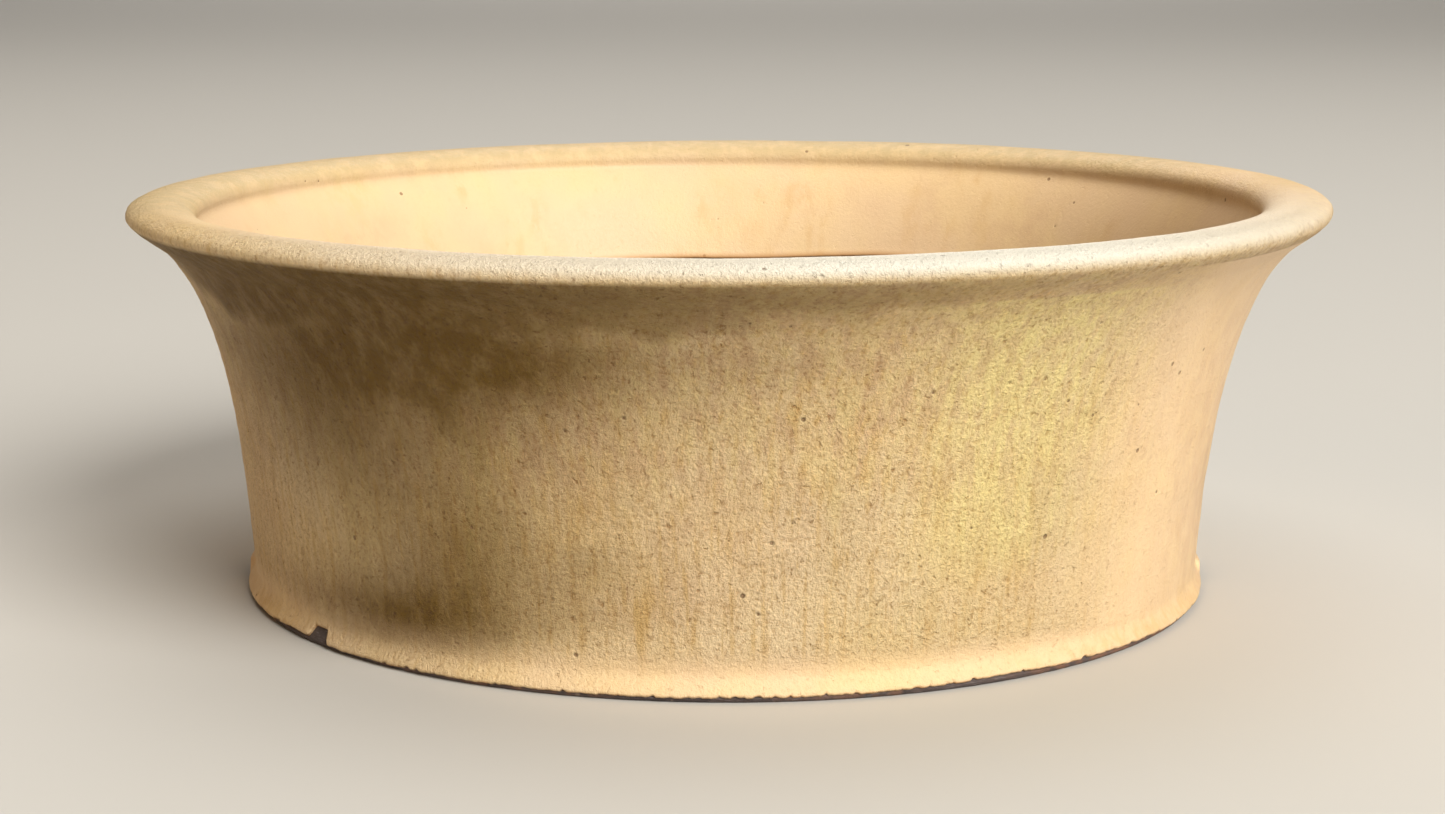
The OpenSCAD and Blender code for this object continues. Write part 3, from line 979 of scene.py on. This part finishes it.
def glaze_material():
    """Sandy cream glaze with runs and patches, brown where thin, smooth and pale where calm, with painted
    shade and painted highlights.
    """
    s = Shader("cream_glaze")
    calm = s.field("calm")
    rough_part = s.math("SUBTRACT", 1.0, calm)
    streaks = s.noise(3.4, 4, 0.6, s.stretched((1, 1, 0.06)))
    threads = s.noise(1.7, 3, 0.6, s.stretched((1, 1, 0.05)))
    broad = s.noise(34, 4, 0.6)
    wrinkle = s.noise(0.95, 5, 0.68, s.stretched((1, 1, 0.9)))
    cloud = s.noise(5.0, 4, 0.65, s.stretched((1, 1, 0.6)))
    fleck = s.noise(1.6, 3, 0.7)
    wide = s.noise(3.0, 4, 0.6, s.stretched((1, 1, 0.05)))
    colour = s.mix(s.ramp(broad, 0.35, 0.7), CREAM, PALE)
    colour = s.over(colour, TAN, s.ramp(cloud, 0.35, 0.65, 0.2, 0.8), s.field("rose"))
    colour = s.over(colour, MOSS, s.ramp(streaks, 0.62, 0.36, 0.15, 1.0), s.field("olive"))
    colour = s.over(colour, GOLD, s.ramp(streaks, 0.40, 0.60, 0.1, 1.0), s.field("ochre"))
    colour = s.over(colour, GOLD, s.ramp(threads, 0.48, 0.7, 0, 0.6), rough_part)
    colour = s.over(colour, PALE, s.ramp(threads, 0.45, 0.25, 0, 0.5), rough_part)
    veil = s.math("MULTIPLY", s.field("runs"), rough_part)
    colour = s.over(colour, TAN, s.ramp(wide, 0.50, 0.62, 0, 0.6), veil)
    colour = s.over(colour, STRAW, s.ramp(wide, 0.47, 0.35, 0, 0.6), veil)
    # painted light: lighter, yellower glaze on the wall facing the key lamp
    colour = s.over(colour, LIT_LEMON, s.ramp(wide, 0.35, 0.6, 0.8, 0.35), s.field("bare"))
    # painted shade under the lip and on the front left
    colour = s.over(colour, SHADE_KHAKI, s.ramp(cloud, 0.3, 0.6, 0.85, 0.97), s.field("shade_and_umber"))
    sand_and_shade_amount = s.math("MULTIPLY_ADD", rough_part, 0.85, 0.15)
    # the grain's own tan, with painted shade in its hollows
    colour = s.over(colour, SAND_AND_SHADE, s.ramp(wrinkle, 0.50, 0.36, 0, 0.48), sand_and_shade_amount, blend="MULTIPLY")
    # a painted highlight on the grain's crests
    colour = s.over(colour, CREST_HIGHLIGHT, s.ramp(wrinkle, 0.54, 0.66, 0, 0.4), rough_part, blend="MULTIPLY")
    colour = s.over(colour, SPOT, s.ramp(fleck, 0.60, 0.72, 0, 0.6), rough_part, blend="MULTIPLY")
    colour = s.over(colour, IVORY, calm, s.ramp(broad, 0.3, 0.7, 0.35, 0.85))
    # sage tint with painted shade on the back half of the lip
    colour = s.over(colour, SAGE_AND_SHADE, s.field("sage_and_shade_lip"), s.ramp(cloud, 0.35, 0.6, 0.5, 0.95))
    # painted highlight on the front of the lip
    colour = s.over(colour, HIGHLIGHT_CHALK, s.field("lip_highlight"))
    specks = s.cells(5.5)
    speck_size = s.ramp(specks.outputs["Color"], 0.45, 1.0, 0.0, 0.12)
    speck = s.math("LESS_THAN", specks.outputs["Distance"], speck_size)
    colour = s.over(colour, BROWN, speck, 0.7)
    crust = s.mix(s.ramp(s.noise(9, 3), 0.42, 0.58), RUST, BROWN)
    colour = s.over(colour, crust, s.field("thin"), s.ramp(s.noise(2.5, 3), 0.35, 0.6, 0.3, 0.95))
    colour = s.over(colour, RUST, s.field("blush"), 0.85)
    height = s.math("MULTIPLY_ADD", s.noise(0.35, 2, 0.6), 0.3, wrinkle)
    height = s.math("SUBTRACT", height, s.ramp(fleck, 0.60, 0.72, 0, 0.35))
    pits = s.ramp(specks.outputs["Distance"], 0.04, 0.14, -0.6, 0.0)
    height = s.math("ADD", height, s.math("MULTIPLY", pits, s.ramp(specks.outputs["Color"], 0.55, 0.75)))
    height = s.math("MULTIPLY", height, s.ramp(calm, 0.0, 1.0, 1.0, 0.10))
    rough = s.math("SUBTRACT", s.ramp(wrinkle, 0.3, 0.7, 0.48, 0.66), s.math("MULTIPLY", calm, 0.17))
    return s.finish(Base_Color=colour, Roughness=rough, Normal=s.bump(height, 1.3), Specular_IOR_Level=0.24)


def clay_material():
    """Dark stoneware with grog, turning lines and orange flashes."""
    s = Shader("dark_clay")
    tone = s.noise(16, 4, 0.6)
    grog = s.cells(1.6)
    turned_lines = s.noise(2.8, 3, 0.55, s.stretched((1, 1, 12)))
    colour = s.mix(s.ramp(tone, 0.3, 0.7), CLAY_DARK, CLAY_LIGHT)
    colour = s.over(colour, CLAY_LINE, s.ramp(turned_lines, 0.54, 0.72, 0, 0.6))
    grain_size = s.ramp(grog.outputs["Color"], 0.6, 1.0, 0.0, 0.35)
    grit = s.math("LESS_THAN", grog.outputs["Distance"], grain_size)
    colour = s.over(colour, GROG, grit, 0.5)
    colour = s.over(colour, FLASH, s.field("flash"), s.ramp(s.noise(4.0, 4), 0.35, 0.65), 0.55)
    height = s.math("MULTIPLY_ADD", s.noise(0.7, 3, 0.7), 0.8, s.math("MULTIPLY", grit, 0.25))
    height = s.math("ADD", height, s.math("MULTIPLY", turned_lines, 0.5))
    rough = s.ramp(tone, 0.3, 0.7, 0.74, 0.92)
    return s.finish(Base_Color=colour, Roughness=rough, Normal=s.bump(height, 0.3))


def screen_material():
    """Black plastic mesh, scuffed and a little dusty."""
    s = Shader("moulded_mesh")
    scuff = s.noise(3.0, 5, 0.65)
    colour = s.mix(s.ramp(scuff, 0.45, 0.75), PLASTIC_DARK, PLASTIC_SCUFFED)
    colour = s.over(colour, DUST, s.ramp(s.noise(7, 3), 0.5, 0.75, 0, 0.35))
    rough = s.ramp(scuff, 0.3, 0.7, 0.42, 0.66)
    return s.finish(Base_Color=colour, Roughness=rough, Normal=s.bump(s.noise(0.35, 3, 0.6), 0.05, 0.8))


def wire_material():
    """Soft aluminium wire, dulled by handling."""
    s = Shader("soft_wire")
    drawn = s.noise(0.5, 4, 0.6, distortion=0.4)
    dull = s.noise(5, 4, 0.6)
    colour = s.mix(s.ramp(dull, 0.35, 0.7), WIRE_BRIGHT, WIRE_DULL)
    rough = s.ramp(dull, 0.3, 0.7, 0.3, 0.52)
    return s.finish(Base_Color=colour, Metallic=1.0, Roughness=rough, Normal=s.bump(drawn, 0.04, 0.7))


def paint(piece, material):
    piece.data.materials.clear()
    piece.data.materials.append(material)


# ---------------------------------------------------------------- the camera, floor and lights
def camera():
    """A long lens in front of the pot, a little above the rim."""
    distance, height = 678.6, 168.9
    pitch, yaw, roll = math.radians(10.55), math.radians(-0.066), math.radians(-0.15)
    data = bpy.data.cameras.new("camera")
    data.sensor_width = 36.0
    data.lens = 66.9
    data.clip_start, data.clip_end = 0.01, 100
    cam = linked("camera", data)
    cam.matrix_world = (
        Matrix.Translation((0, -distance * MM, height * MM))
        @ Matrix.Rotation(-yaw, 4, "Z")
        @ Matrix.Rotation(math.pi / 2 - pitch, 4, "X")
        @ Matrix.Rotation(-roll, 4, "Z")
    )
    bpy.context.scene.camera = cam


def lamp(name, azimuth, elevation, distance, size, power, colour):
    """A round soft light that faces the pot. Its size and distance are in metres, its angles in degrees."""
    a, e = math.radians(azimuth), math.radians(elevation)
    aim = Vector((0, 0, 0.05))
    way = Vector((math.cos(e) * math.cos(a), math.cos(e) * math.sin(a), math.sin(e)))
    data = bpy.data.lights.new(name, "AREA")
    data.shape, data.size = "DISK", size
    data.energy, data.color = power, colour
    obj = linked(name, data)
    obj.location = aim + distance * way
    obj.rotation_euler = (-way).to_track_quat("-Z", "Y").to_euler()
    return obj


def studio():
    """A plain pale floor, a dim warm sky and four soft lamps."""
    bpy.ops.mesh.primitive_plane_add(size=40, location=(0, 0, 0))
    ground = bpy.context.object
    ground.name = "ground"
    s = Shader("pale_floor")
    paint(ground, s.finish(Base_Color=(0.56, 0.545, 0.52), Roughness=0.9))
    world = bpy.data.worlds.new("world")
    world.use_nodes = True
    sky = world.node_tree.nodes["Background"]
    sky.inputs["Color"].default_value = (1.0, 0.84, 0.66, 1)
    sky.inputs["Strength"].default_value = 0.05
    bpy.context.scene.world = world
    lamp("key", 304, 35, 4.0, 2.6, 233, (1.0, 0.97, 0.90))
    lamp("overhead", 90, 72, 3.1, 3.2, 54, (1.0, 0.96, 0.89))
    lamp("fill", 195, 12, 3.2, 1.6, 17.6, (1.0, 0.70, 0.40))
    # this one hangs over the far floor and shines straight down
    lamp("backdrop", 90, 26, 6.5, 3.0, 70, (1.0, 0.97, 0.92)).rotation_euler = (0, 0, 0)
    bpy.context.scene.view_settings.view_transform = "Standard"


camera()
pieces = {
    "glaze": [glaze_skin()],
    "clay": [foot_ring(), wall_body(), rim_body(), seam_coil(), floor_slab()],
    "screen": [screen(*site) for site in drain_sites()],
    "wire": [clip(*site) for site in drain_sites()],
}
makers = {
    "glaze": glaze_material,
    "clay": clay_material,
    "screen": screen_material,
    "wire": wire_material,
}
for kind, make in makers.items():
    material = make()
    for piece in pieces[kind]:
        paint(piece, material)
studio()
